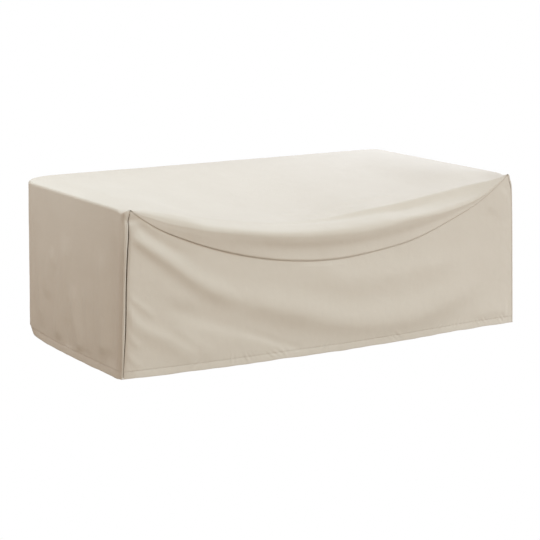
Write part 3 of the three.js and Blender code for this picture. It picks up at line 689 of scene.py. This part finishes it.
def body_cloth():
    cloth = Cloth()
    x, y = grid(TOP_X, DEPTH_Y)
    cloth.patch(top_surface(x, y), np.stack([x, y], -1))

    x, t = grid(FRONT_X, APRON_T)
    apron = apron_surface(x, t)
    cloth.patch(apron, np.stack([x, -run_along(apron)], -1), turned=True)

    x, down = grid(WRAP_X, WRAP_IN)
    uv = np.stack([x, DEPTH + down], -1)
    cloth.patch(back_surface(x, HEIGHT - down), uv, sewn=(WRAP - down - TOPSTITCH, x))

    for side in (-1, 1):
        place = 0 if side < 0 else LENGTH
        z, y = grid(END_ROWS, DEPTH_Y)
        face = end_surface(side, y, z)
        away = smoothstep(np.minimum(y, DEPTH - y), *END_HEM_CALM)
        along = -y if side < 0 else LENGTH + y
        face[..., 0] += side * away * hem_relief(along, z)
        face[..., 2] += away * hem_waver(along, z)
        thickness = np.where((z < HEM_HEIGHT) & (away > 0), HEM_THICK, CLOTH)
        uv = np.stack([place + side * (HEIGHT - z), y], -1)
        # Painted shade in each front corner's seam and beside it, over soil in the hem's stitched line.
        corner_shade = darkened_line(y - PINCH_AT / 2, CORNER_PAINTED_SHADE, CORNER_SHADE_HALF) * smoothstep(z, *PINCH_FADES)
        soil_and_shade = darkened_line(z - HEM_HEIGHT, HEM_SOIL) + corner_shade
        soil_and_shade = soil_and_shade + BESIDE_PAINTED_SHADE * bell(y, BESIDE_HALF) * smoothstep(HEIGHT - z, *BESIDE_FROM)
        cloth.patch(face, uv, thickness, turned=side > 0, soil_and_shade=soil_and_shade, sewn=(z - HEM_HEIGHT, y))

        z, share = grid(END_ROWS, CORNER / EAR_IN)
        width = left_strip(z) if side < 0 else right_strip(z)
        strip = strip_surface(side, share * width, z)
        uv = np.stack([place + side * (HEIGHT - z), -share * width], -1)
        cloth.patch(strip, uv, turned=side < 0, sewn=((1 - share) * width - TOPSTITCH, z))

        z, inside = grid(END_ROWS, WRAP_IN)
        wrap = back_surface(inside if side < 0 else LENGTH - inside, z)
        uv = np.stack([place + side * (HEIGHT - z), DEPTH + inside], -1)
        cloth.patch(wrap, uv, turned=side > 0, sewn=(WRAP - inside - TOPSTITCH, z))

    z, column = grid(END_ROWS, np.arange(len(FLAP)))
    flap = strip_surface(-1, left_strip(z), z)
    opened = smoothstep(HEIGHT - FLAP_TOP - z, 0, FLAP_CLOSES)
    flap[..., :2] += np.array(FLAP, float)[column] * opened[..., None]
    # The flap is painted dark, for the shade inside the slit.
    cloth.patch(flap, flap[..., (0, 2)], turned=True, soil_and_shade=np.where(column > 1, FLAP_PAINTED_SHADE, 0))
    return cloth.build("cover_body", canvas)


def behind(points):
    return points + np.array([0, UNDER_LAP, 0])


def panel_heights(across):
    """The front panel's rows: level in the hem, and above it at like shares of the way up to the seam."""
    seam_z = seam_height(lerp(EAR_IN, LENGTH - EAR_IN, across))
    hem = np.broadcast_to(HEM_ROWS[:, None], (len(HEM_ROWS), len(across)))
    return np.concatenate([hem, lerp(HEM_ROWS[-1], seam_z[None], PANEL_UPS[:, None])])


def panel_soil_and_shade(face, z, seam_z):
    """The front panel's soil and painted shade: soil in its hem, painted shade in its seam and beside the
    slit.
    """
    # Painted shade along the scooped seam towards its right end, as the seam's shadow line.
    at_seam = SEAM_PAINTED_SHADE * smoothstep(face[..., 0], *SEAM_SHADE_SPAN)
    from_slit = face[..., 0] - face[:, :1, 0]
    soil_and_shade = darkened_line(z - HEM_HEIGHT, HEM_SOIL) + darkened_line(seam_z - z, at_seam)
    # Painted shade on the panel beside the slit, all the way up and wider low down.
    soil_and_shade = soil_and_shade + SLIT_PAINTED_SHADE * np.exp(-from_slit / SLIT_SHADE_FALLS) * smoothstep(HEIGHT - z, *SLIT_SHADE_FROM)
    return soil_and_shade + LOW_PAINTED_SHADE * np.exp(-from_slit / LOW_SHADE_FALLS) * bell(z - LOW_SHADE_AT, LOW_SHADE_HALF)


def front_panel():
    cloth = Cloth()
    across = (PANEL_X - EAR_IN) / (LENGTH - 2 * EAR_IN)
    z = panel_heights(across)
    across = np.broadcast_to(across, z.shape)
    face = front_surface(across, z)
    sideways = np.minimum(face[..., 0], LENGTH - face[..., 0])
    from_side = smoothstep(sideways, *FRONT_HEM_CALM)
    face[..., 1] -= hem_relief(face[..., 0], z) * from_side
    face[..., 2] += hem_waver(face[..., 0], z) * from_side
    thickness = np.where((z < HEM_HEIGHT) & (sideways > DOUBLE_FROM), HEM_THICK, CLOTH)
    soil_and_shade = panel_soil_and_shade(face, z, seam_height(lerp(EAR_IN, LENGTH - EAR_IN, across)))
    sewn = (z - HEM_HEIGHT, face[..., 0])
    cloth.patch(behind(face), face[..., (0, 2)], thickness, turned=True, soil_and_shade=soil_and_shade, sewn=sewn)

    x, t = grid(PANEL_X[section["seam"](PANEL_X) > LAP_STARTS], LAP_T)
    lap = apron_surface(x, t)
    cloth.patch(behind(lap), lap[..., (0, 2)])

    z, out = grid(panel_heights(np.array([1.0]))[:, 0], lines(0, (STRIP_LAP, 2)))
    lap = front_surface(np.ones_like(z), z)
    lap[..., 0] += out
    cloth.patch(behind(lap), lap[..., (0, 2)], turned=True)
    return cloth.build("cover_front", canvas)


def back_panel():
    cloth = Cloth()
    z, x = grid(BACK_ROWS, BACK_X)
    face = back_surface(x, z, UNDER_LAP)
    face[..., 1] += hem_relief(x, z) * smoothstep(from_end(x), *BACK_HEM_CALM)
    thickness = np.where(z < HEM_HEIGHT, HEM_THICK, CLOTH)
    soil_and_shade = darkened_line(z - HEM_HEIGHT, HEM_SOIL)
    cloth.patch(face, np.stack([x, z], -1), thickness, soil_and_shade=soil_and_shade, sewn=(z - HEM_HEIGHT, x))
    return cloth.build("cover_back", canvas)


# ---- The cloth's look

def node(tree, kind, **inputs):
    made = tree.nodes.new(kind)
    for name, value in inputs.items():
        made.inputs[name.replace("_", " ")].default_value = value
    return made


def mark(tree, name):
    """What each point of a cloth carries under that name."""
    made = tree.nodes.new("ShaderNodeAttribute")
    made.attribute_name = name
    return made.outputs["Fac"]


def sums(tree, operation, first, second=0.0):
    """A math node on a socket and a socket or number."""
    made = tree.nodes.new("ShaderNodeMath")
    made.operation = operation
    tree.links.new(first, made.inputs[0])
    if isinstance(second, float):
        made.inputs[1].default_value = second
    else:
        tree.links.new(second, made.inputs[1])
    return made.outputs[0]


def mixed(tree, factor, first, second):
    """A colour between two, each of them a colour or a socket."""
    mix = tree.nodes.new("ShaderNodeMix")
    mix.data_type = "RGBA"
    tree.links.new(factor, mix.inputs["Factor"])
    for name, colour in (("A", first), ("B", second)):
        if isinstance(colour, tuple):
            mix.inputs[name].default_value = (*colour, 1)
        else:
            tree.links.new(colour, mix.inputs[name])
    return mix.outputs["Result"]


def bumped(tree, height, strength, distance, under=None):
    made = node(tree, "ShaderNodeBump", Strength=strength, Distance=distance)
    tree.links.new(height, made.inputs["Height"])
    if under:
        tree.links.new(under, made.inputs["Normal"])
    return made.outputs["Normal"]


def stitches(tree):
    """Where the thread shows, and the height of thread and furrow, along the stitched lines."""
    off = sums(tree, "ABSOLUTE", mark(tree, "stitch_away"))
    beat = sums(tree, "SINE", sums(tree, "MULTIPLY", mark(tree, "stitch_along"), 2 * math.pi / STITCH))

    def ramp(source, span, at_low, at_high):
        low, high = span
        made = node(tree, "ShaderNodeMapRange", From_Min=low, From_Max=high, To_Min=at_low, To_Max=at_high)
        made.interpolation_type = "SMOOTHSTEP"
        tree.links.new(source, made.inputs["Value"])
        return made.outputs["Result"]

    thread = sums(tree, "MULTIPLY", ramp(off, THREAD_HALF, 1.0, 0.0), ramp(beat, STITCH_GAP, 0.0, 1.0))
    return thread, sums(tree, "ADD", thread, ramp(off, SINK_HALF, -1.0, 0.0))


def canvas_material(name):
    """Matt plain-woven canvas: fine crossing threads, slight crinkles, a faint mottle, soil and painted
    shade, and stitches.
    """
    material = bpy.data.materials.new(name)
    material.use_nodes = True
    tree = material.node_tree
    link = tree.links.new
    surface = tree.nodes["Principled BSDF"]
    place = tree.nodes.new("ShaderNodeTexCoord")

    threads = []
    for turn in ("X", "Y"):
        wave = node(tree, "ShaderNodeTexWave", Scale=WEAVE_SCALE, Distortion=0.6, Detail=1.0,
                    Detail_Scale=2.0)
        wave.wave_type, wave.bands_direction = "BANDS", turn
        link(place.outputs["UV"], wave.inputs["Vector"])
        threads.append(wave.outputs["Fac"])
    crinkle = node(tree, "ShaderNodeTexNoise", Scale=26.0, Detail=4.0, Roughness=0.55)
    link(place.outputs["Object"], crinkle.inputs["Vector"])
    mottle = node(tree, "ShaderNodeTexNoise", Scale=5.0, Detail=5.0, Roughness=0.6)
    link(place.outputs["Object"], mottle.inputs["Vector"])
    thread, furrow = stitches(tree)

    normal = bumped(tree, sums(tree, "ADD", *threads), strength=0.18, distance=0.0004)
    normal = bumped(tree, crinkle.outputs["Fac"], strength=0.25, distance=0.004, under=normal)
    normal = bumped(tree, furrow, strength=0.8, distance=0.0006, under=normal)
    link(normal, surface.inputs["Normal"])

    colour = mixed(tree, mottle.outputs["Fac"], CANVAS, CANVAS_SHADE)
    # Soil and painted shade darken the mottled colour towards one brown.
    colour = mixed(tree, mark(tree, "soil_and_shade"), colour, SOIL_AND_SHADE_COLOUR)
    link(mixed(tree, thread, colour, THREAD), surface.inputs["Base Color"])
    surface.inputs["Roughness"].default_value = 0.88
    surface.inputs["Specular IOR Level"].default_value = 0.25
    surface.inputs["Sheen Weight"].default_value = 0.06
    surface.inputs["Sheen Roughness"].default_value = 0.5
    return material


canvas = canvas_material("canvas")

# Each cloth, and the flat size of the rectangle that it is cut from, in metres.
sheets = {
    "body_cloth": (body_cloth(), (3.42, 1.37)),
    "front_panel": (front_panel(), (2.02, 0.72)),
    "back_panel": (back_panel(), (2.02, 0.70)),
}
for cad_node, ((cloth, area), flat) in sheets.items():
    print(cad_node, "area", round(area, 4), "faces", len(cloth.data.polygons))
    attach(cloth, "root")
    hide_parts(cad_node)

# ---- Floor, light and camera, in metres

FLOOR_BELOW = 0.062  # under the front hem, where the bench's feet stand
FLOOR_SIZE = 80
FLOOR_COLOUR = (0.52, 0.47, 0.41)  # as the light in the scene sees it
WORLD_COLOUR = (0.46, 0.36, 0.295)
WHITE = (1, 1, 1)

# Where each sun stands, its strength, spread in degrees and colour.
SUNS = (
    ((0.22, -0.50, 0.84), 1.21, 55, (0.73, 1.0, 1.13)),
    ((0.10, -0.90, 0.35), 0.43, 55, (1.16, 1.0, 0.92)),
)
# Each soft box's place, the point it shines on, its size, power and colour.
SOFT_BOXES = (
    ((3.0, 1.0, 2.2), (0.5, -0.5, 0), 2.0, 76, (0.87, 1.0, 1.24)),  # along the top, from the right
    ((2.6, -3.2, 0.6), (0.4, -1.0, -0.5), 1.6, 9.4, (0.92, 1.0, 1.18)),  # along the front, from the right
    ((-2.2, 0.0, 1.5), (-1, -0.4, -0.1), 1.0, 11.2, (0.98, 1.0, 1.04)),  # the left end
    ((-1.45, -0.35, 1.0), (-1, -0.5, 0), 0.7, 1.3, (0.6, 1.0, 1.25)),  # its top edge
)

# Solved from the straight edges of the cover.
CAMERA_AT, CAMERA_TILT, CAMERA_TURN = (-4.311, -7.6154, 1.2197), 78.73, -31.38
LENS, SENSOR, FAR = 121.8, 36.0, 200


def white_for_camera(tree, seen, unseen, out):
    """Makes a node tree that the camera sees as plain white and the light in the scene as something else.

    seen and out are kinds of node; unseen is a kind and its colour."""
    tree.nodes.clear()
    path = tree.nodes.new("ShaderNodeLightPath")
    kind, colour = unseen
    mix = tree.nodes.new("ShaderNodeMixShader")
    tree.links.new(path.outputs["Is Camera Ray"], mix.inputs["Fac"])
    tree.links.new(node(tree, kind, Color=(*colour, 1)).outputs[0], mix.inputs[1])
    tree.links.new(node(tree, seen, Color=(*WHITE, 1)).outputs[0], mix.inputs[2])
    tree.links.new(mix.outputs[0], tree.nodes.new(out).inputs["Surface"])


def pale_floor():
    below = float(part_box("front_panel")[0].z) - FLOOR_BELOW
    bpy.ops.mesh.primitive_plane_add(size=FLOOR_SIZE, location=(0, 0, below))
    floor = bpy.context.object
    floor.name = "floor"
    material = bpy.data.materials.new("floor")
    material.use_nodes = True
    unseen = ("ShaderNodeBsdfDiffuse", FLOOR_COLOUR)
    white_for_camera(material.node_tree, "ShaderNodeEmission", unseen, "ShaderNodeOutputMaterial")
    floor.data.materials.append(material)


def white_world():
    world = bpy.data.worlds.new("world")
    bpy.context.scene.world = world
    world.use_nodes = True
    unseen = ("ShaderNodeBackground", WORLD_COLOUR)
    white_for_camera(world.node_tree, "ShaderNodeBackground", unseen, "ShaderNodeOutputWorld")


def place_lamp(name, light, place, toward):
    """Puts a lamp at a place, with its back turned toward a direction."""
    lamp = bpy.data.objects.new(name, light)
    lamp.location = place
    lamp.rotation_euler = toward.to_track_quat("Z", "Y").to_euler()
    bpy.context.collection.objects.link(lamp)


def soft_sun(toward, strength, spread, colour):
    light = bpy.data.lights.new("sun", "SUN")
    light.energy, light.angle, light.color = strength, math.radians(spread), colour
    place_lamp("sun", light, Vector(toward) * 5, Vector(toward))


def soft_box(place, aim, size, power, colour):
    light = bpy.data.lights.new("soft_box", "AREA")
    light.shape, light.size, light.energy, light.color = "DISK", size, power, colour
    place_lamp("soft_box", light, place, Vector(place) - Vector(aim))


def camera():
    data = bpy.data.cameras.new("camera")
    data.lens, data.sensor_width, data.clip_end = LENS, SENSOR, FAR
    made = bpy.data.objects.new("camera", data)
    made.location = CAMERA_AT
    made.rotation_euler = (math.radians(CAMERA_TILT), 0, math.radians(CAMERA_TURN))
    bpy.context.collection.objects.link(made)
    bpy.context.scene.camera = made


pale_floor()
white_world()
for sun in SUNS:
    soft_sun(*sun)
for box in SOFT_BOXES:
    soft_box(*box)
camera()
bpy.context.scene.view_settings.view_transform = "Standard"
